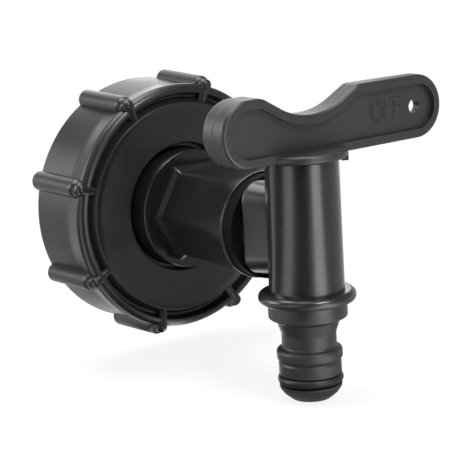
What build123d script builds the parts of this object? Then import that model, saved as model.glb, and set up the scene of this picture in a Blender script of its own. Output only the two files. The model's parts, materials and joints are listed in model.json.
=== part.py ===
from build123d import *
import math
import os

# Tank thread of the coupling cap. The origin is the middle of this thread, on its axis.
# The pipe axis runs along Y: +Y towards the tank, -Y towards the tap. The spout points down.
thread_major_diameter = 60.0
thread_play = 0.2
thread_length = 12.6
mouth_lead = 0.8

# Coupling cap shell
cap_wall = 4.3
cap_draft = 1.1
waist_place = 14.5
waist_rounding = 10.0
shoulder_rise = 0.9
mouth_rounding = 0.8
seat_step = 2.0
seat_depth = 5.2
front_plate_thickness = 3.0
collar_play = 1.35
shoulder_width = 2.6
shoulder_rounding = 2.1
groove_outer_slope = 0.8
groove_floor_width = 0.6
groove_inner_slope = 1.3
groove_depth = 2.2
rim_height = 0.2
bevel_width = 1.6
bevel_depth = 0.3
bevel_rounding = 3.0
edge_rounding = 0.4

# Grip lugs around the cap
lug_count = 8
first_lug_angle = 28.3
lug_radius = 2.7
lug_height = 2.7
lug_lean = 0.7
lug_back_inset = 0.15
lug_back_rounding = 0.9
lug_length = 21.0
lug_nose_rounding = 2.6
ridge_foot_radius = 2.2
ridge_foot_rounding = 1.6
ridge_foot_height = 1.5
ridge_overhang = 0.9
ridge_tip_radius = 1.2
ridge_inset = 0.35

# Swivel between the cap and the adapter
swivel_play = 0.1
swivel_end_play = 0.15

# Flat gasket in the cap
gasket_thickness = 2.5
gasket_width = 8.2
gasket_play = 0.05

# Threaded adapter
adapter_flange_thickness = 2.4
collar_radius = 16.35
collar_length = 7.45
hex_plate_flats = 25.6
hex_plate_edge_rounding = 0.5
hex_plate_thickness = 2.9
hex_bevel_length = 1.2
hex_flats = 23.6
hex_edge_rounding = 2.3
flare_length = 20.0
flare_steps = 4
flare_radius = 14.15
flare_lip = 0.6
flare_rounding = 0.4
flare_roundness = 0.98
adapter_length = 41.85
socket_depth = 17.0
waterway_radius = 8.0
funnel_radius = 13.0
funnel_length = 11.0

# Inlet thread of the tap and its washer
inlet_thread_diameter = 20.955
inlet_thread_play = 0.05
inlet_length = 14.0
inlet_bore_radius = 7.5
inlet_bore_depth = 3.1
inlet_lead = 1.0
washer_thickness = 3.5
washer_radius = 13.7
washer_play = 0.12

# Block between the inlet and the barrel
block_width = 21.4
block_height = 24.4
block_corner_radius = 5.5
block_lift = 0.7
block_length = 8.6
block_back_rounding = 0.8
block_front_width = 15.6
block_front_height = 22.6
block_front_corner_radius = 5.0
barrel_offset = 12.73
port_radius = 5.0

# Barrel of the tap, heights measured from the pipe axis
barrel_top = 19.2
barrel_top_radius = 9.46
barrel_foot_radius = 9.71
plug_bore_radius = 7.0
snap_recess_depth = 0.45
snap_recess_height = 2.6
plug_floor = -13.6

# Quick-connect spigot under the barrel
spigot_flange_top = -14.7
spigot_flange_thickness = 2.9
spigot_flange_radius = 12.6
spigot_flange_rounding = 1.4
spigot_collar_radius = 10.2
spigot_collar_height = 3.9
neck_radius = 7.07
neck_taper_width = 1.1
neck_taper_height = 3.2
neck_height = 3.5
rib_radius = 8.5
rib_height = 2.3
rib_slope = 0.8
rib_rounding = 1.0
rib_relief = 0.3
spigot_radius = 8.1
spigot_length = 7.3
spigot_nose_length = 3.1
spigot_tip_radius = 5.1
spigot_bore_radius = 4.6

# O-ring of the spigot
spigot_ring_section = 2.4
spigot_ring_stand_out = 0.4
spigot_ring_height = -37.9
ring_groove_play = 0.2
ring_floor_play = 0.05

# Plug of the lever key
plug_play = 0.05
plug_end_play = 0.3
plug_hollow_radius = 4.2
plug_hollow_top = 5.5
plug_port_radius = 4.0
snap_bead_play = 0.15
snap_bead_height = 2.1
plug_ring_section = 1.8
plug_ring_play = 0.02
upper_ring_height = 12.5
lower_ring_height = -8.3

# Skirt of the lever key, its stop tabs and the stop fins on the barrel
skirt_gap = 0.15
skirt_radius = 11.8
skirt_height = 2.05
skirt_rounding = 0.8
tab_angle = -38.0
tab_width = 2.6
tab_depth = 1.8
tab_drop = 1.0
fin_width = 2.2
fin_height = 1.7
fin_top_gap = 0.1
fin_side_gap = 0.25
lever_travel = 90.0

# Lever plate, in its closed place with the long end towards +X
plate_gap = 0.2
lobe_reach = 27.2
lobe_height = 17.0
lobe_rounding = 8.4
lobe_width = 12.9
lobe_shoulder_rounding = 6.0
valley_offset = 0.3
valley_height = 8.0
valley_rounding = 20.0
paddle_shoulder = 16.9
paddle_shoulder_rounding = 3.0
paddle_reach = 46.2
paddle_height = 16.65
paddle_rounding = 8.2
lobe_thickness = 8.8
paddle_thickness = 4.4
recess_rim = 2.4
recess_depth = 1.3
plate_rounding = 0.9
hang_hole_radius = 1.85
hang_hole_inset = 8.7

# Places along the pipe axis, counted forwards from the cap's mouth
mouth_y = mouth_lead + thread_length / 2
thread_end = mouth_lead + thread_length
plate_inner = thread_end + seat_depth
plate_front = plate_inner + front_plate_thickness
cap_front = plate_front + rim_height
flange_front = plate_inner - swivel_end_play
flange_back = flange_front - adapter_flange_thickness
gasket_front = flange_back - gasket_play
collar_front = flange_front + collar_length
hex_plate_front = collar_front + hex_plate_thickness
hex_start = hex_plate_front + hex_bevel_length
socket_face = flange_back + adapter_length
block_back = socket_face + washer_thickness
tap_axis = block_back + barrel_offset

# Radii that follow from what fits together
cavity_radius = thread_major_diameter / 2 + thread_play
cap_radius = cavity_radius + cap_wall
waist_radius = cap_radius - cap_draft
shoulder_radius = waist_radius + shoulder_rise
groove_outer_radius = shoulder_radius - shoulder_width - groove_outer_slope
groove_inner_radius = groove_outer_radius - groove_floor_width
rim_radius = groove_inner_radius - groove_inner_slope
seat_radius = cavity_radius - seat_step
hole_radius = collar_radius + collar_play
inlet_thread_radius = inlet_thread_diameter / 2
plug_radius = plug_bore_radius - plug_play
plate_bottom = barrel_top + plate_gap
skirt_bottom = barrel_top + skirt_gap


def face_of(corners):
    return make_face(
        FilletPolyline(
            *[(across, along) for across, along, rounding in corners],
            radius=[rounding for across, along, rounding in corners],
            close=True,
        )
    )


def turned_on_pipe(corners):
    # Corners are radius, distance forwards from the mouth, and corner rounding.
    placed = [(radius, mouth_y - forward, rounding) for radius, forward, rounding in corners]
    return revolve(face_of(placed), Axis.Y)


def turned_on_barrel(corners):
    # Corners are radius, height, and corner rounding.
    solid = revolve(Plane.XZ * face_of(corners), Axis.Z)
    return Pos(0, mouth_y - tap_axis, 0) * solid


def facing(forward):
    # A plane across the pipe that looks forwards, at a distance from the mouth.
    return Plane.XZ.offset(forward - mouth_y)


def hexagon(flats, rounding):
    sharp = RegularPolygon(flats / math.sqrt(3), 6)
    return fillet(sharp.vertices(), rounding)


def cap_shell():
    groove_floor = cap_front - groove_depth
    return turned_on_pipe(
        [
            (cavity_radius, mouth_lead, 0),
            (cavity_radius + mouth_lead, 0, 0),
            (cap_radius, 0, mouth_rounding),
            (waist_radius, waist_place, waist_rounding),
            (shoulder_radius, cap_front, shoulder_rounding),
            (shoulder_radius - shoulder_width, cap_front, edge_rounding / 2),
            (groove_outer_radius, groove_floor, 0),
            (groove_inner_radius, groove_floor, 0),
            (rim_radius, cap_front, edge_rounding / 2),
            (rim_radius - bevel_width, plate_front - bevel_depth, bevel_rounding),
            (hole_radius, plate_front, edge_rounding),
            (hole_radius, plate_inner, edge_rounding),
            (seat_radius, plate_inner, edge_rounding),
            (seat_radius, thread_end, 0),
            (cavity_radius, thread_end, 0),
        ]
    )


def round_ended_bar(start, end, start_radius, end_radius, start_rounding, end_rounding):
    # Turned about the line from start to end. The points are radius and distance forwards.
    origin = Vector(start[0], mouth_y - start[1], 0)
    target = Vector(end[0], mouth_y - end[1], 0)
    length = (target - origin).length
    half_section = face_of(
        [
            (0, 0, 0),
            (start_radius, 0, start_rounding),
            (end_radius, length, end_rounding),
            (0, length, 0),
        ]
    )
    bar = revolve(Plane.XZ * half_section, Axis.Z)
    return Plane(origin=origin, z_dir=target - origin) * bar


def grip_lug(angle):
    # A bar along the wall, and a ridge that bends over the shoulder and tapers to the rim.
    back_radius = cap_radius + lug_height - lug_radius
    nose_radius = back_radius - lug_lean
    bar = round_ended_bar(
        (back_radius, lug_back_inset),
        (nose_radius, lug_length),
        lug_radius,
        lug_radius,
        lug_back_rounding,
        lug_nose_rounding,
    )
    foot_place = cap_front + ridge_overhang - ridge_foot_radius
    tip_place = cap_front - ridge_inset - ridge_tip_radius
    ridge = round_ended_bar(
        (shoulder_radius + ridge_foot_height, foot_place),
        (rim_radius + ridge_inset, tip_place),
        ridge_foot_radius,
        ridge_tip_radius,
        ridge_foot_rounding,
        0,
    )
    return Rot(0, -angle, 0) * (bar + ridge)


def coupling_cap():
    cap = cap_shell()
    for index in range(lug_count):
        cap += grip_lug(first_lug_angle + index * 360 / lug_count)
    return cap


def cap_gasket():
    gasket_back = gasket_front - gasket_thickness
    bore_radius = seat_radius - gasket_width
    return turned_on_pipe(
        [
            (bore_radius, gasket_back, 0),
            (seat_radius - gasket_play, gasket_back, 0),
            (seat_radius - gasket_play, gasket_front, 0),
            (bore_radius, gasket_front, 0),
        ]
    )


def threaded_adapter():
    flange_radius = seat_radius - swivel_play
    body = turned_on_pipe(
        [
            (0, flange_back, 0),
            (flange_radius, flange_back, edge_rounding),
            (flange_radius, flange_front, edge_rounding),
            (collar_radius, flange_front, edge_rounding),
            (collar_radius, collar_front, edge_rounding),
            (0, collar_front, 0),
        ]
    )
    hex_plate = hexagon(hex_plate_flats, hex_plate_edge_rounding)
    hex_section = hexagon(hex_flats, hex_edge_rounding)
    body += facing(collar_front) * extrude(hex_plate, hex_plate_thickness)
    body += loft([facing(hex_plate_front) * hex_plate, facing(hex_start) * hex_section])
    # The hexagon widens into the round end, and its corners get rounder on the way.
    flare_start = socket_face - flare_length
    flare_end = socket_face - flare_lip
    full_rounding = flare_roundness * flare_radius
    sections = []
    for step in range(flare_steps + 1):
        share = step / flare_steps
        flats = hex_flats + (2 * flare_radius - hex_flats) * share**2
        rounding = hex_edge_rounding + (full_rounding - hex_edge_rounding) * share**2
        place = flare_start + (flare_end - flare_start) * share
        sections.append(facing(place) * hexagon(flats, rounding))
    body += facing(hex_start) * extrude(hex_section, flare_start - hex_start)
    body += loft(sections)
    lip = facing(flare_end) * extrude(hexagon(2 * flare_radius, full_rounding), flare_lip)
    body += fillet(lip.faces().sort_by(Axis.Y)[0].edges(), flare_rounding)
    socket_radius = inlet_thread_radius + inlet_thread_play
    socket_floor = socket_face - socket_depth
    body -= turned_on_pipe(
        [
            (0, flange_back, 0),
            (funnel_radius, flange_back, 0),
            (waterway_radius, flange_back + funnel_length, 0),
            (waterway_radius, socket_floor, 0),
            (socket_radius, socket_floor, 0),
            (socket_radius, socket_face, 0),
            (0, socket_face, 0),
        ]
    )
    return body


def tap_washer():
    bore_radius = inlet_thread_radius + washer_play
    return turned_on_pipe(
        [
            (bore_radius, socket_face, 0),
            (washer_radius, socket_face, 0),
            (washer_radius, block_back, 0),
            (bore_radius, block_back, 0),
        ]
    )


def tap_inlet():
    inlet_end = socket_face - inlet_length
    return turned_on_pipe(
        [
            (0, inlet_end, 0),
            (inlet_thread_radius - inlet_lead, inlet_end, 0),
            (inlet_thread_radius, inlet_end + inlet_lead, 0),
            (inlet_thread_radius, block_back, 0),
            (0, block_back, 0),
        ]
    )


def tap_block():
    # It narrows towards the barrel and ends inside it.
    back = RectangleRounded(block_width, block_height, block_corner_radius)
    front = RectangleRounded(block_front_width, block_front_height, block_front_corner_radius)
    block = loft(
        [
            facing(block_back) * Pos(0, block_lift) * back,
            facing(block_back + block_length) * Pos(0, block_lift) * front,
        ]
    )
    return fillet(block.faces().sort_by(Axis.Y)[-1].edges(), block_back_rounding)


def ring_groove_corners(outer_radius, ring_outer_radius, section, height):
    # The three-sided groove of an O-ring, from its upper edge to its lower edge.
    floor = ring_outer_radius - section - ring_floor_play
    reach = section / 2 + ring_groove_play
    return [
        (outer_radius, height + reach, 0),
        (floor, height + reach, 0),
        (floor, height - reach, 0),
        (outer_radius, height - reach, 0),
    ]


def o_ring(outer_radius, section, height):
    circle = Plane.XZ * Pos(outer_radius - section / 2, height) * Circle(section / 2)
    return Pos(0, mouth_y - tap_axis, 0) * revolve(circle, Axis.Z)


def barrel_and_spigot():
    flange_bottom = spigot_flange_top - spigot_flange_thickness
    collar_bottom = flange_bottom - spigot_collar_height
    shoulder_bottom = collar_bottom - neck_taper_width
    neck_top = shoulder_bottom - neck_taper_height
    neck_bottom = neck_top - neck_height
    rib_top = neck_bottom - rib_slope
    rib_bottom = rib_top - rib_height
    spigot_top = rib_bottom - rib_radius + spigot_radius
    nose_top = spigot_top - spigot_length
    tip = nose_top - spigot_nose_length
    nose_middle_radius = (spigot_radius + spigot_tip_radius) / 2 + edge_rounding
    ring_radius = spigot_radius + spigot_ring_stand_out
    corners = [
        (0, barrel_top, 0),
        (barrel_top_radius, barrel_top, edge_rounding),
        (barrel_foot_radius, spigot_flange_top, 0),
        (spigot_flange_radius, spigot_flange_top, spigot_flange_rounding),
        (spigot_flange_radius, flange_bottom, spigot_flange_rounding),
        (spigot_collar_radius, flange_bottom, 0),
        (spigot_collar_radius, collar_bottom, edge_rounding),
        (neck_radius + neck_taper_width, shoulder_bottom, edge_rounding),
        (neck_radius, neck_top, neck_height / 2),
        (neck_radius, neck_bottom, rib_slope),
        (rib_radius, rib_top, rib_rounding),
        (rib_radius, rib_bottom, rib_rounding),
        (spigot_radius - rib_relief, spigot_top - rib_relief, edge_rounding / 2),
        (spigot_radius, spigot_top - 3 * rib_relief, edge_rounding / 2),
    ]
    corners += ring_groove_corners(
        spigot_radius, ring_radius, spigot_ring_section, spigot_ring_height
    )
    corners += [
        (spigot_radius, nose_top, spigot_flange_rounding),
        (nose_middle_radius, (nose_top + tip) / 2, spigot_flange_rounding),
        (spigot_tip_radius, tip, edge_rounding),
        (0, tip, 0),
    ]
    return turned_on_barrel(corners)


def barrel_bore():
    recess_radius = plug_bore_radius + snap_recess_depth
    recess_top = plug_floor + snap_recess_height
    return turned_on_barrel(
        [
            (0, barrel_top, 0),
            (plug_bore_radius, barrel_top, 0),
            (plug_bore_radius, recess_top, 0),
            (recess_radius, recess_top - snap_recess_depth, 0),
            (recess_radius, plug_floor, 0),
            (spigot_bore_radius, plug_floor, 0),
            (spigot_bore_radius, 4 * plug_floor, 0),
            (0, 4 * plug_floor, 0),
        ]
    )


def inlet_bores():
    inlet_end = socket_face - inlet_length
    return turned_on_pipe(
        [
            (0, inlet_end, 0),
            (inlet_bore_radius, inlet_end, 0),
            (inlet_bore_radius, block_back + inlet_bore_depth, 0),
            (port_radius, block_back + inlet_bore_depth, 0),
            (port_radius, tap_axis, 0),
            (0, tap_axis, 0),
        ]
    )


def stop_piece(angle, width, inner_radius, outer_radius, bottom, height):
    # A small block on the barrel's top or under the skirt, at an angle seen from above.
    middle = (inner_radius + outer_radius) / 2
    block = Pos(middle, 0, bottom + height / 2) * Box(outer_radius - inner_radius, width, height)
    return Pos(0, mouth_y - tap_axis, 0) * Rot(0, 0, angle) * block


def stop_fins():
    # One fin stops the tab on the tank side when closed, the other when open.
    tab_middle_radius = skirt_radius - tab_depth / 2
    between = tab_width / 2 + fin_width / 2 + fin_side_gap
    offset = math.degrees(between / tab_middle_radius)
    back_tab = tab_angle + 180
    bottom = skirt_bottom - fin_top_gap - fin_height
    fins = [
        stop_piece(angle, fin_width, plug_bore_radius + plug_play, skirt_radius, bottom, fin_height)
        for angle in (back_tab + offset, back_tab - lever_travel - offset)
    ]
    return fins


def tap_body():
    body = barrel_and_spigot() + tap_block() + tap_inlet()
    for fin in stop_fins():
        body += fin
    return body - barrel_bore() - inlet_bores()


def lever_outline():
    # The valley lies near the middle between the lobe's shoulder and the paddle's.
    bottom = plate_bottom
    lobe_shoulder = lobe_width - lobe_reach
    valley_middle = (lobe_shoulder + paddle_shoulder) / 2 + valley_offset
    return face_of(
        [
            (-lobe_reach, bottom, lobe_rounding),
            (paddle_reach, bottom, paddle_rounding),
            (paddle_reach, bottom + paddle_height, paddle_rounding),
            (paddle_shoulder, bottom + paddle_height, paddle_shoulder_rounding),
            (valley_middle, bottom + valley_height, valley_rounding),
            (lobe_shoulder, bottom + lobe_height, lobe_shoulder_rounding),
            (-lobe_reach, bottom + lobe_height, lobe_rounding),
        ]
    )


def lever_wedge(reduction):
    # The plate's plan: thick at the lobe end and thin at the paddle end.
    lobe_half = lobe_thickness / 2 - reduction
    paddle_half = paddle_thickness / 2 - reduction
    plan = Polyline(
        (-lobe_reach, -lobe_half),
        (paddle_reach, -paddle_half),
        (paddle_reach, paddle_half),
        (-lobe_reach, lobe_half),
        close=True,
    )
    return Pos(0, 0, plate_bottom) * extrude(make_face(plan), lobe_height)


def lever_plate():
    outline = lever_outline()
    blank = Plane.XZ * extrude(outline, lobe_thickness, both=True)
    plate = blank & lever_wedge(0)
    faces = [plate.faces().sort_by(Axis.Y)[end] for end in (0, -1)]
    plate = fillet(faces[0].edges() + faces[1].edges(), plate_rounding)
    inner = Plane.XZ * extrude(offset(outline, -recess_rim), lobe_thickness, both=True)
    plate -= inner - lever_wedge(recess_depth)
    hole_height = plate_bottom + paddle_height / 2
    hole = Pos(paddle_reach - hang_hole_inset, 0, hole_height) * Rot(90, 0, 0)
    return plate - hole * Cylinder(hang_hole_radius, 2 * lobe_thickness)


def lever_plug():
    ring_radius = plug_bore_radius - plug_ring_play
    bead_radius = plug_bore_radius + snap_recess_depth - snap_bead_play
    plug_end = plug_floor + plug_end_play
    bead_top = plug_end + snap_bead_height
    corners = [
        (0, skirt_bottom + skirt_height, 0),
        (skirt_radius, skirt_bottom + skirt_height, skirt_rounding),
        (skirt_radius, skirt_bottom, skirt_rounding),
        (plug_radius, skirt_bottom, 0),
    ]
    for height in (upper_ring_height, lower_ring_height):
        corners += ring_groove_corners(plug_radius, ring_radius, plug_ring_section, height)
    corners += [
        (plug_radius, bead_top, 0),
        (bead_radius, bead_top - snap_recess_depth, 0),
        (bead_radius, plug_end, 0),
        (plug_hollow_radius, plug_end, 0),
        (plug_hollow_radius, plug_hollow_top, plug_hollow_radius / 2),
        (0, plug_hollow_top, 0),
    ]
    return turned_on_barrel(corners)


def lever_key():
    key = lever_plug() + Pos(0, mouth_y - tap_axis, 0) * lever_plate()
    port = Pos(-plug_bore_radius / 2, mouth_y - tap_axis, 0) * Rot(0, 90, 0)
    key -= port * Cylinder(plug_port_radius, plug_bore_radius)
    for angle in (tab_angle, tab_angle + 180):
        key += stop_piece(
            angle,
            tab_width,
            skirt_radius - tab_depth,
            skirt_radius,
            skirt_bottom - tab_drop,
            tab_drop + skirt_rounding,
        )
    return key


pieces = {
    "coupling_cap": coupling_cap(),
    "cap_gasket": cap_gasket(),
    "threaded_adapter": threaded_adapter(),
    "tap_washer": tap_washer(),
    "tap_body": tap_body(),
    "spigot_o_ring": o_ring(
        spigot_radius + spigot_ring_stand_out, spigot_ring_section, spigot_ring_height
    ),
    "lever_key": lever_key(),
    "upper_plug_o_ring": o_ring(
        plug_bore_radius - plug_ring_play, plug_ring_section, upper_ring_height
    ),
    "lower_plug_o_ring": o_ring(
        plug_bore_radius - plug_ring_play, plug_ring_section, lower_ring_height
    ),
}
os.makedirs("parts", exist_ok=True)
for name, shape in pieces.items():
    export_step(shape, f"parts/{name}.step")
    print(name, round(shape.volume, 1))
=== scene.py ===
import bpy
import json
import math
from mathutils import Matrix, Vector


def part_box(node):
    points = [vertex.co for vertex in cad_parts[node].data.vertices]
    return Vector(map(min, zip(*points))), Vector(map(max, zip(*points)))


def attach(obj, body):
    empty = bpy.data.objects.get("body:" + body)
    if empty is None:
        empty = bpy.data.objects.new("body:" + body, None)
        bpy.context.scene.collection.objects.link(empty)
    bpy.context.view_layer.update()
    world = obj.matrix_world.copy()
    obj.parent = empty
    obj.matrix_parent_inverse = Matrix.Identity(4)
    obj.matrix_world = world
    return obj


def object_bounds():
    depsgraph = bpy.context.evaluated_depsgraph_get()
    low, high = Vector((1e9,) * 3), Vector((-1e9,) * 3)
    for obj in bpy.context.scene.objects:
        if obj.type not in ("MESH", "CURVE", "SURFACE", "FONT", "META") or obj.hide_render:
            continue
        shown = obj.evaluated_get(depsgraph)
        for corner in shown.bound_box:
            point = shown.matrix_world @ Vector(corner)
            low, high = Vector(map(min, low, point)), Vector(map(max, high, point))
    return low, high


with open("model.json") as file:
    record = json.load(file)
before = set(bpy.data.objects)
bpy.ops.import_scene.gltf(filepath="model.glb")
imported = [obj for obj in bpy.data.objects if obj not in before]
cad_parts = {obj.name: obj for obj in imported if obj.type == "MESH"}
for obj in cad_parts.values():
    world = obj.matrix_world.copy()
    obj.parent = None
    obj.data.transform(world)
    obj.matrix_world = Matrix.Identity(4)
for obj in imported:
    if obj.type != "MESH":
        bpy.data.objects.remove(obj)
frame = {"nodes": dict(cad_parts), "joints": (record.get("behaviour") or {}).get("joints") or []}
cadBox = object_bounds()
bpy.ops.object.select_all(action="DESELECT")
print("frame loaded")

mm = 0.001
cadNodes = frame["nodes"]
pivot = Vector(next(joint for joint in frame["joints"] if joint["name"] == "lever_turn")["pos_m"])


# Small helpers for node trees

def addNode(tree, kind, **values):
    node = tree.nodes.new(kind)
    for name, value in values.items():
        setattr(node, name, value)
    return node


def setInput(tree, node, name, value):
    # A socket is linked, anything else is a plain value.
    socket = node.inputs[name]
    if isinstance(value, bpy.types.NodeSocket):
        tree.links.new(value, socket)
    else:
        socket.default_value = value


def mathNode(tree, operation, first, second=0.0, third=None, clamp=False):
    node = addNode(tree, "ShaderNodeMath", operation=operation, use_clamp=clamp)
    setInput(tree, node, 0, first)
    setInput(tree, node, 1, second)
    if third is not None:
        setInput(tree, node, 2, third)
    return node.outputs[0]


def spread(tree, value, low, high, newLow=0.0, newHigh=1.0):
    node = addNode(tree, "ShaderNodeMapRange")
    setInput(tree, node, "Value", value)
    setInput(tree, node, "From Min", low)
    setInput(tree, node, "From Max", high)
    setInput(tree, node, "To Min", newLow)
    setInput(tree, node, "To Max", newHigh)
    return node.outputs[0]


def noise(tree, coordinates, scale, detail=2.0, roughness=0.5, distortion=0.0):
    node = addNode(tree, "ShaderNodeTexNoise")
    setInput(tree, node, "Vector", coordinates)
    setInput(tree, node, "Scale", scale)
    setInput(tree, node, "Detail", detail)
    setInput(tree, node, "Roughness", roughness)
    setInput(tree, node, "Distortion", distortion)
    return node.outputs["Fac"]


def mixColours(tree, amount, first, second):
    node = addNode(tree, "ShaderNodeMix", data_type="RGBA")
    setInput(tree, node, 0, amount)
    setInput(tree, node, 6, first)
    setInput(tree, node, 7, second)
    return node.outputs[2]


# Effects shared by several materials

def makeGroup(name, inputs, outputs):
    group = bpy.data.node_groups.new(name, "ShaderNodeTree")
    for label, kind, value in inputs:
        socket = group.interface.new_socket(label, in_out="INPUT", socket_type=kind)
        if value is not None:
            socket.default_value = value
    for label, kind in outputs:
        group.interface.new_socket(label, in_out="OUTPUT", socket_type=kind)
    return group, addNode(group, "NodeGroupInput"), addNode(group, "NodeGroupOutput")


moulding = {
    "streakStretch": (1.0, 0.16, 0.3),
    "streakScale": 900.0,
    "streakBand": (0.56, 0.78),
    "patchScale": 75.0,
    "patchBand": (0.44, 0.66),
    "mottleBand": (0.3, 0.7),
    "rubRoughness": 0.25,
    "grainShare": 0.12,
}


def makeMouldSkin(look):
    # The skin of moulded plastic: tool grain, slow waves where it shrank, and rubbed streaks.
    group, entry, leave = makeGroup(
        "mouldSkin",
        [
            ("Vector", "NodeSocketVector", None),
            ("Colour", "NodeSocketColor", (0.02, 0.02, 0.02, 1)),
            ("Rub Colour", "NodeSocketColor", (0.06, 0.06, 0.06, 1)),
            ("Grain Scale", "NodeSocketFloat", 4000.0),
            ("Wave Scale", "NodeSocketFloat", 160.0),
            ("Wave Share", "NodeSocketFloat", 0.6),
            ("Rub Amount", "NodeSocketFloat", 0.3),
            ("Smooth", "NodeSocketFloat", 0.3),
            ("Rough", "NodeSocketFloat", 0.45),
        ],
        [
            ("Colour", "NodeSocketColor"),
            ("Roughness", "NodeSocketFloat"),
            ("Height", "NodeSocketFloat"),
        ],
    )
    place = entry.outputs["Vector"]
    grain = noise(group, place, entry.outputs["Grain Scale"], detail=3.0, roughness=0.6)
    wave = noise(group, place, entry.outputs["Wave Scale"], detail=1.0)
    stretch = addNode(group, "ShaderNodeMapping")
    setInput(group, stretch, "Vector", place)
    stretch.inputs["Scale"].default_value = look["streakStretch"]
    streak = noise(
        group,
        stretch.outputs[0],
        look["streakScale"],
        detail=5.0,
        roughness=0.7,
        distortion=0.4,
    )
    patches = noise(group, place, look["patchScale"], detail=3.0)
    streaked = spread(group, streak, *look["streakBand"])
    rubbed = spread(group, patches, *look["patchBand"])
    worn = mathNode(group, "MULTIPLY", streaked, rubbed)
    rub = mathNode(group, "MULTIPLY", worn, entry.outputs["Rub Amount"], clamp=True)
    colour = mixColours(group, rub, entry.outputs["Colour"], entry.outputs["Rub Colour"])
    mottle = spread(group, patches, *look["mottleBand"])
    roughness = addNode(group, "ShaderNodeMix", data_type="FLOAT")
    setInput(group, roughness, 0, mottle)
    setInput(group, roughness, 2, entry.outputs["Smooth"])
    setInput(group, roughness, 3, entry.outputs["Rough"])
    roughnessRubbed = mathNode(group, "MULTIPLY_ADD", rub, look["rubRoughness"], roughness.outputs[0])
    grainHeight = mathNode(group, "MULTIPLY", grain, look["grainShare"])
    height = mathNode(group, "MULTIPLY_ADD", wave, entry.outputs["Wave Share"], grainHeight)
    group.links.new(colour, leave.inputs["Colour"])
    group.links.new(roughnessRubbed, leave.inputs["Roughness"])
    group.links.new(height, leave.inputs["Height"])
    return group


mouldSkin = makeMouldSkin(moulding)
skinInputs = (
    "Colour",
    "Rub Colour",
    "Grain Scale",
    "Wave Scale",
    "Wave Share",
    "Rub Amount",
    "Smooth",
    "Rough",
)


def newMaterial(name):
    material = bpy.data.materials.new(name)
    material.use_nodes = True
    tree = material.node_tree
    shader = tree.nodes["Principled BSDF"]
    place = addNode(tree, "ShaderNodeTexCoord").outputs["Object"]
    return material, tree, shader, place


def addBump(tree, shader, height, distance):
    bump = addNode(tree, "ShaderNodeBump")
    setInput(tree, bump, "Height", height)
    bump.inputs["Distance"].default_value = distance
    bump.inputs["Strength"].default_value = 1.0
    tree.links.new(bump.outputs[0], shader.inputs["Normal"])


def mouldedPlastic(name, look):
    material, tree, shader, place = newMaterial(name)
    skin = addNode(tree, "ShaderNodeGroup", node_tree=mouldSkin)
    setInput(tree, skin, "Vector", place)
    for label in skinInputs:
        skin.inputs[label].default_value = look[label]
    tree.links.new(skin.outputs["Colour"], shader.inputs["Base Color"])
    roughness = skin.outputs["Roughness"]
    if "satinFrom" in look:
        # The mould is less polished at the spigot and at the block than on the barrel's front.
        upright = addNode(tree, "ShaderNodeSeparateXYZ")
        setInput(tree, upright, 0, place)
        atSpigot = spread(tree, upright.outputs["Z"], look["satinFrom"], look["satinTo"])
        atBlock = spread(tree, upright.outputs["Y"], look["blockFrom"], look["blockTo"])
        blockSatin = mathNode(tree, "MULTIPLY", atBlock, look["blockShare"])
        satin = mathNode(tree, "MAXIMUM", atSpigot, blockSatin)
        roughness = mathNode(tree, "MULTIPLY_ADD", satin, look["satinMore"], roughness)
    setInput(tree, shader, "Roughness", roughness)
    shader.inputs["IOR"].default_value = look["ior"]
    shader.inputs["Specular IOR Level"].default_value = look["specular"]
    height = skin.outputs["Height"]
    if "seamHalf" in look:
        # The witness line where the two halves of the mould met, on the lever's middle plane.
        axes = addNode(tree, "ShaderNodeSeparateXYZ")
        setInput(tree, axes, 0, place)
        away = mathNode(tree, "ABSOLUTE", mathNode(tree, "SUBTRACT", axes.outputs["Y"], pivot.y))
        seam = spread(tree, away, look["seamHalf"], look["seamHalf"] / 3)
        height = mathNode(tree, "MULTIPLY_ADD", seam, look["seamHeight"] / look["bumpDepth"], height)
    addBump(tree, shader, height, look["bumpDepth"])
    return material


def blackGrey(value):
    return (value, value, value * 1.04, 1)


capLook = {
    "Colour": blackGrey(0.012),
    "Rub Colour": blackGrey(0.06),
    "Grain Scale": 3600.0,
    "Wave Scale": 130.0,
    "Wave Share": 0.35,
    "Rub Amount": 0.4,
    "Smooth": 0.28,
    "Rough": 0.4,
    "ior": 1.5,
    "specular": 0.38,
    "bumpDepth": 0.06 * mm,
}
adapterLook = dict(
    capLook,
    **{
        "Colour": blackGrey(0.009),
        "Smooth": 0.15,
        "Rough": 0.24,
        "Wave Scale": 190.0,
        "Wave Share": 0.24,
        "Rub Amount": 0.15,
    },
)
tapLook = dict(
    capLook,
    **{
        "Colour": blackGrey(0.016),
        "Smooth": 0.13,
        "Rough": 0.24,
        "Wave Scale": 210.0,
        "Wave Share": 0.15,
        "Rub Amount": 0.3,
        "specular": 0.5,
        "satinFrom": -13 * mm,
        "satinTo": -22 * mm,
        "blockFrom": -63 * mm,
        "blockTo": -61 * mm,
        "blockShare": 0.4,
        "satinMore": 0.28,
    },
)
leverLook = dict(
    capLook,
    **{
        "Colour": blackGrey(0.021),
        "Smooth": 0.36,
        "Rough": 0.46,
        "Wave Scale": 240.0,
        "specular": 0.42,
        "bumpDepth": 0.05 * mm,
        "seamHalf": 0.28 * mm,
        "seamHeight": 0.09 * mm,
    },
)
# Black rubber for the washer and the gasket. Its colour is darker than the rubber's own black: painted
# shade for the shaded crescent between the adapter's end and the tap's block.
rubberAndShadeLook = dict(
    capLook,
    **{
        "Colour": blackGrey(0.002),
        "Smooth": 0.65,
        "Rough": 0.8,
        "Wave Scale": 300.0,
        "specular": 0.08,
        "Rub Amount": 0.1,
    },
)
ringLook = dict(
    rubberAndShadeLook,
    **{
        "Colour": blackGrey(0.006),
        "Smooth": 0.35,
        "Rough": 0.5,
        "specular": 0.4,
    },
)

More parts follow.
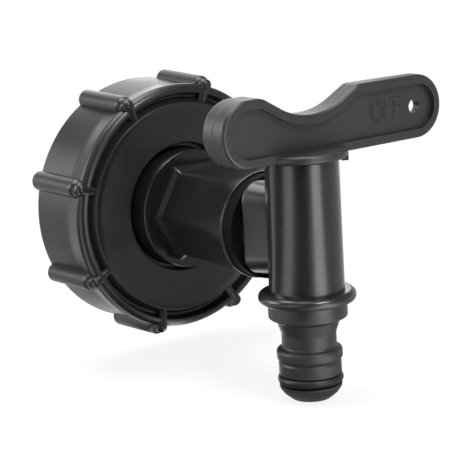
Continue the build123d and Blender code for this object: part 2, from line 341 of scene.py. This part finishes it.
capPlastic = mouldedPlastic("capPlastic", capLook)
adapterPlastic = mouldedPlastic("adapterPlastic", adapterLook)
tapPlastic = mouldedPlastic("tapPlastic", tapLook)
leverPlastic = mouldedPlastic("leverPlastic", leverLook)
washerRubberAndShade = mouldedPlastic("washerRubberAndShade", rubberAndShadeLook)
ringRubber = mouldedPlastic("ringRubber", ringLook)

nodeMaterials = {
    "coupling_cap": capPlastic,
    "cap_gasket": washerRubberAndShade,
    "threaded_adapter": adapterPlastic,
    "tap_washer": washerRubberAndShade,
    "tap_body": tapPlastic,
    "spigot_o_ring": ringRubber,
    "lever_key": leverPlastic,
    "upper_plug_o_ring": ringRubber,
    "lower_plug_o_ring": ringRubber,
}
for nodeName, material in nodeMaterials.items():
    mesh = cadNodes[nodeName].data
    mesh.materials.clear()
    mesh.materials.append(material)
print("materials made")


def finishPiece(piece, name, material, body):
    piece.name = name
    piece.data.materials.clear()
    piece.data.materials.append(material)
    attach(piece, body)
    bpy.ops.object.select_all(action="DESELECT")


# Raised letters in the recess of the paddle, drawn as thin outlines
letters = {
    "word": "OFF",
    "height": 5.8 * mm,
    "width": 10.6 * mm,
    "centre": (27.4 * mm, 27.7 * mm),
    "line": 0.25 * mm,
    "lobeHalf": 4.4 * mm,
    "paddleHalf": 2.2 * mm,
    "recess": 1.3 * mm,
    "bevelSteps": 2,
    "curveSteps": 8,
}


def makeLetters(look):
    leverLow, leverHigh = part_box("lever_key")
    slope = (look["lobeHalf"] - look["paddleHalf"]) / (leverHigh.x - leverLow.x)
    across, up = look["centre"]
    half = look["lobeHalf"] - slope * (across - leverLow.x) - look["recess"]
    bpy.ops.object.text_add(location=(0, 0, 0))
    text = bpy.context.object
    text.data.body = look["word"]
    text.data.align_x = "CENTER"
    text.data.align_y = "CENTER"
    bpy.context.view_layer.update()
    wide, high = text.dimensions.x, text.dimensions.y
    text.data.fill_mode = "NONE"
    text.data.bevel_depth = look["line"] * high / look["height"]
    text.data.bevel_resolution = look["bevelSteps"]
    text.data.resolution_u = look["curveSteps"]
    bpy.ops.object.convert(target="MESH")
    text.scale = (look["width"] / wide, look["height"] / high, look["height"] / high)
    bpy.ops.object.transform_apply(location=False, rotation=False, scale=True)
    text.rotation_euler = (math.radians(90), 0, math.atan(slope))
    text.location = (across, pivot.y - half, up)
    bpy.ops.object.transform_apply(location=True, rotation=True, scale=True)
    finishPiece(text, "offLetters", leverPlastic, "lever")


# Tank thread inside the cap: one coarse ridge whose ends run out into the wall
tankThread = {
    "pitch": 6.0 * mm,
    "turns": 1.45,
    "start": 3.0 * mm,
    "rootRadius": 30.35 * mm,
    "height": 2.7 * mm,
    "rootWidth": 3.7 * mm,
    "crestWidth": 1.3 * mm,
    "runOut": 0.08,
    "endShare": 0.12,
    "pointsPerTurn": 72,
    "firstAngle": math.radians(20),
    "weld": 0.001 * mm,
    "smoothAngle": math.radians(32),
}


def makeTankThread(look):
    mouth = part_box("coupling_cap")[1].y
    profile = bpy.data.curves.new("threadProfile", "CURVE")
    profile.dimensions = "2D"
    section = profile.splines.new("POLY")
    corners = [
        (0, -look["rootWidth"] / 2),
        (-look["height"], -look["crestWidth"] / 2),
        (-look["height"], look["crestWidth"] / 2),
        (0, look["rootWidth"] / 2),
    ]
    section.points.add(len(corners) - 1)
    section.use_cyclic_u = True
    for point, (across, along) in zip(section.points, corners):
        point.co = (across, along, 0, 1)
    profileObject = bpy.data.objects.new("threadProfile", profile)
    bpy.context.scene.collection.objects.link(profileObject)
    path = bpy.data.curves.new("tankThread", "CURVE")
    path.dimensions = "3D"
    path.twist_mode = "Z_UP"
    path.bevel_mode = "OBJECT"
    path.bevel_object = profileObject
    path.use_fill_caps = True
    line = path.splines.new("POLY")
    count = round(look["turns"] * look["pointsPerTurn"])
    line.points.add(count)
    for index, point in enumerate(line.points):
        share = index / count
        angle = look["firstAngle"] + share * look["turns"] * math.tau
        rise = share * look["turns"] * look["pitch"]
        fade = min(share, 1 - share) / look["runOut"]
        point.co = (look["rootRadius"] * math.cos(angle), look["rootRadius"] * math.sin(angle), rise, 1)
        point.radius = min(1.0, look["endShare"] + (1 - look["endShare"]) * fade)
    thread = bpy.data.objects.new("tankThread", path)
    bpy.context.scene.collection.objects.link(thread)
    bpy.ops.object.select_all(action="DESELECT")
    thread.select_set(True)
    bpy.context.view_layer.objects.active = thread
    bpy.context.view_layer.update()
    bpy.ops.object.convert(target="MESH")
    thread.rotation_euler = (math.radians(90), 0, 0)
    thread.location = (0, mouth - look["start"], 0)
    bpy.ops.object.transform_apply(location=True, rotation=True, scale=True)
    bpy.data.objects.remove(profileObject)
    bpy.ops.object.mode_set(mode="EDIT")
    bpy.ops.mesh.select_all(action="SELECT")
    bpy.ops.mesh.remove_doubles(threshold=look["weld"])
    bpy.ops.mesh.normals_make_consistent(inside=False)
    bpy.ops.object.mode_set(mode="OBJECT")
    bpy.ops.object.shade_smooth_by_angle(angle=look["smoothAngle"])
    finishPiece(thread, "tankThread", capPlastic, "cap")


# The pip that the gate of the mould left on the barrel
gatePip = {
    "radius": 0.45 * mm,
    "height": 0.16 * mm,
    "azimuth": math.radians(-31),
    "up": 1.6 * mm,
    "barrelRadius": 9.58 * mm,
    "softShare": 0.6,
    "softSteps": 2,
    "sides": 24,
}


def makeGatePip(look):
    bpy.ops.mesh.primitive_cylinder_add(
        radius=look["radius"],
        depth=2 * look["height"],
        vertices=look["sides"],
        calc_uvs=False,
    )
    pip = bpy.context.object
    bevel = pip.modifiers.new("soften", "BEVEL")
    bevel.width = look["height"] * look["softShare"]
    bevel.segments = look["softSteps"]
    bpy.ops.object.modifier_apply(modifier="soften")
    outwards = Vector((math.sin(look["azimuth"]), -math.cos(look["azimuth"]), 0))
    pip.rotation_euler = outwards.to_track_quat("Z", "Y").to_euler()
    pip.location = Vector((0, pivot.y, look["up"])) + outwards * look["barrelRadius"]
    bpy.ops.object.transform_apply(location=True, rotation=True, scale=True)
    finishPiece(pip, "gatePip", tapPlastic, "tap")


makeLetters(letters)
print("letters made")
makeGatePip(gatePip)
print("gate pip made")
makeTankThread(tankThread)
print("tank thread made")


# Floor, lights and camera
studio = {
    "floorSize": 6.0,
    "floorDrop": 0.5 * mm,
    "floorGrey": 0.8,
    "whiteShare": 0.86,
    "whiteFrom": 0.1,
    "whiteTo": 0.5,
    "diffuseGrey": 0.22,
    "tent": [
        (-180, 0.8),
        (-155, 1.25),
        (-132, 1.1),
        (-116, 0.06),
        (-91, 0.04),
        (-82, 1.9),
        (-64, 2.6),
        (-54, 0.3),
        (-46, 0.02),
        (-24, 0.02),
        (-12, 1.2),
        (-6, 4.8),
        (9, 4.8),
        (18, 0.9),
        (30, 0.62),
        (70, 0.75),
        (100, 0.9),
        (180, 0.8),
    ],
    "fadeFrom": 0.1,
    "fadeTo": 0.45,
    "fadeShare": 0.3,
    "paintedShadowDim": 0.1,
    "nearFrom": 15 * mm,
    "nearTo": 50 * mm,
    "panels": [
        ("topPanel", (-0.05, 0.1, 0.7), (0.6, 0.5), 7.0),
        ("leftPanel", (-0.65, 0.45, 0.3), (0.4, 0.5), 4.2),
        ("keyPanel", (0.05, -0.65, 0.7), (0.3, 0.2), 6.0),
        ("backPanel", (0.3, 0.8, 0.35), (0.8, 0.6), 3.0),
    ],
}


white = (1, 1, 1, 1)


def makeTentTone(stops):
    # What the polished surfaces mirror: a pale tent with two bright walls, dark where the
    # photographer stands. The stops are azimuths in degrees from the front, with their greys.
    group, entry, leave = makeGroup(
        "tentTone",
        [("Direction", "NodeSocketVector", None)],
        [("Tone", "NodeSocketFloat")],
    )
    axes = addNode(group, "ShaderNodeSeparateXYZ")
    setInput(group, axes, 0, entry.outputs["Direction"])
    front = mathNode(group, "MULTIPLY", axes.outputs["Y"], -1.0)
    azimuth = mathNode(group, "ARCTAN2", axes.outputs["X"], front)
    ramp = addNode(group, "ShaderNodeValToRGB")
    setInput(group, ramp, "Fac", spread(group, azimuth, -math.pi, math.pi))
    elements = ramp.color_ramp.elements
    elements.remove(elements[0])
    for index, (degrees, grey) in enumerate(stops):
        place = degrees / 360 + 0.5
        element = elements[0] if index == 0 else elements.new(place)
        element.position = place
        element.color = (grey, grey, grey, 1)
    group.links.new(ramp.outputs["Color"], leave.inputs["Tone"])
    return group


def makeFloor(look, tentTone):
    lowest = cadBox[0][2]
    bpy.ops.mesh.primitive_plane_add(size=look["floorSize"], location=(0, 0, lowest - look["floorDrop"]))
    floor = bpy.context.object
    floor.name = "floor"
    bpy.ops.object.transform_apply(location=True)
    material = bpy.data.materials.new("paleFloor")
    material.use_nodes = True
    tree = material.node_tree
    tree.nodes.remove(tree.nodes["Principled BSDF"])
    matt = addNode(tree, "ShaderNodeBsdfDiffuse")
    matt.inputs["Color"].default_value = (look["floorGrey"], look["floorGrey"], look["floorGrey"], 1)
    tone = addNode(tree, "ShaderNodeGroup", node_tree=tentTone)
    place = addNode(tree, "ShaderNodeTexCoord").outputs["Object"]
    setInput(tree, tone, 0, place)
    # For mirrored rays the floor glows with the tent's tone, painted light that the polished surfaces
    # mirror. Right under the tap that glow is dimmed as a painted shadow, so the nose of the spigot
    # isn't lit from below.
    apart = addNode(tree, "ShaderNodeVectorMath", operation="DISTANCE")
    setInput(tree, apart, 0, place)
    apart.inputs[1].default_value = (0, pivot.y, lowest - look["floorDrop"])
    dim = spread(tree, apart.outputs["Value"], look["nearFrom"], look["nearTo"], look["paintedShadowDim"], 1.0)
    mirroredTone = mathNode(tree, "MULTIPLY", tone.outputs[0], dim)
    path = addNode(tree, "ShaderNodeLightPath")
    glow = addNode(tree, "ShaderNodeEmission")
    fromCamera = path.outputs["Is Camera Ray"]
    setInput(tree, glow, "Color", mixColours(tree, fromCamera, mirroredTone, white))
    mix = addNode(tree, "ShaderNodeMixShader")
    mirrored = mathNode(tree, "ADD", path.outputs["Is Glossy Ray"], path.outputs["Is Transmission Ray"])
    # Far off the floor is as white as the backdrop, and near the tap it keeps the shadow.
    away = apart.outputs["Value"]
    whiteness = spread(tree, away, look["whiteFrom"], look["whiteTo"], look["whiteShare"], 1.0)
    share = mathNode(tree, "MULTIPLY_ADD", fromCamera, whiteness, mirrored, clamp=True)
    setInput(tree, mix, 0, share)
    tree.links.new(matt.outputs[0], mix.inputs[1])
    tree.links.new(glow.outputs[0], mix.inputs[2])
    tree.links.new(mix.outputs[0], tree.nodes["Material Output"].inputs["Surface"])
    floor.data.materials.append(material)
    bpy.ops.object.select_all(action="DESELECT")


def makeWorld(look, tentTone):
    world = bpy.data.worlds.new("studioWorld")
    bpy.context.scene.world = world
    world.use_nodes = True
    tree = world.node_tree
    path = addNode(tree, "ShaderNodeLightPath")
    tone = addNode(tree, "ShaderNodeGroup", node_tree=tentTone)
    direction = addNode(tree, "ShaderNodeTexCoord").outputs["Generated"]
    setInput(tree, tone, 0, direction)
    # The tent's walls fade upwards, and the panels light what faces up.
    upright = addNode(tree, "ShaderNodeSeparateXYZ")
    setInput(tree, upright, 0, direction)
    fade = spread(tree, upright.outputs["Z"], look["fadeFrom"], look["fadeTo"], 1.0, look["fadeShare"])
    wallTone = mathNode(tree, "MULTIPLY", tone.outputs[0], fade)
    glossy, through = path.outputs["Is Glossy Ray"], path.outputs["Is Transmission Ray"]
    mirrored = mathNode(tree, "ADD", glossy, through, clamp=True)
    lit = mixColours(tree, mirrored, blackGrey(look["diffuseGrey"]), wallTone)
    whole = mixColours(tree, path.outputs["Is Camera Ray"], lit, white)
    setInput(tree, tree.nodes["Background"], "Color", whole)


def makePanels(look):
    aim = Vector((0, pivot.y / 2, 0))
    for name, place, size, power in look["panels"]:
        data = bpy.data.lights.new(name, "AREA")
        data.shape = "RECTANGLE"
        data.size, data.size_y = size
        data.energy = power
        lamp = bpy.data.objects.new(name, data)
        bpy.context.scene.collection.objects.link(lamp)
        lamp.location = place
        lamp.rotation_euler = (aim - Vector(place)).to_track_quat("-Z", "Y").to_euler()


photoView = {
    "azimuth": math.radians(-36.35),
    "elevation": math.radians(12.36),
    "roll": math.radians(-3.01),
    "place": (-263.13 * mm, -394.89 * mm, 92.46 * mm),
    "lens": 130.2,
    "sensor": 36.0,
    "clipStart": 0.01,
}


def makeCamera(view):
    azimuth, elevation, roll = view["azimuth"], view["elevation"], view["roll"]
    back = Vector(
        (
            math.sin(azimuth) * math.cos(elevation),
            -math.cos(azimuth) * math.cos(elevation),
            math.sin(elevation),
        )
    )
    right = Vector((math.cos(azimuth), math.sin(azimuth), 0))
    up = back.cross(right)
    turnedRight = math.cos(roll) * right + math.sin(roll) * up
    turnedUp = math.cos(roll) * up - math.sin(roll) * right
    turn = Matrix((turnedRight, turnedUp, back)).transposed().to_4x4()
    data = bpy.data.cameras.new("photoCamera")
    data.lens = view["lens"]
    data.sensor_width = view["sensor"]
    data.clip_start = view["clipStart"]
    camera = bpy.data.objects.new("photoCamera", data)
    bpy.context.scene.collection.objects.link(camera)
    camera.matrix_world = Matrix.Translation(view["place"]) @ turn
    bpy.context.scene.camera = camera


tentTone = makeTentTone(studio["tent"])
makeFloor(studio, tentTone)
makeWorld(studio, tentTone)
makePanels(studio)
makeCamera(photoView)
bpy.context.scene.view_settings.view_transform = "Standard"
print("studio ready")
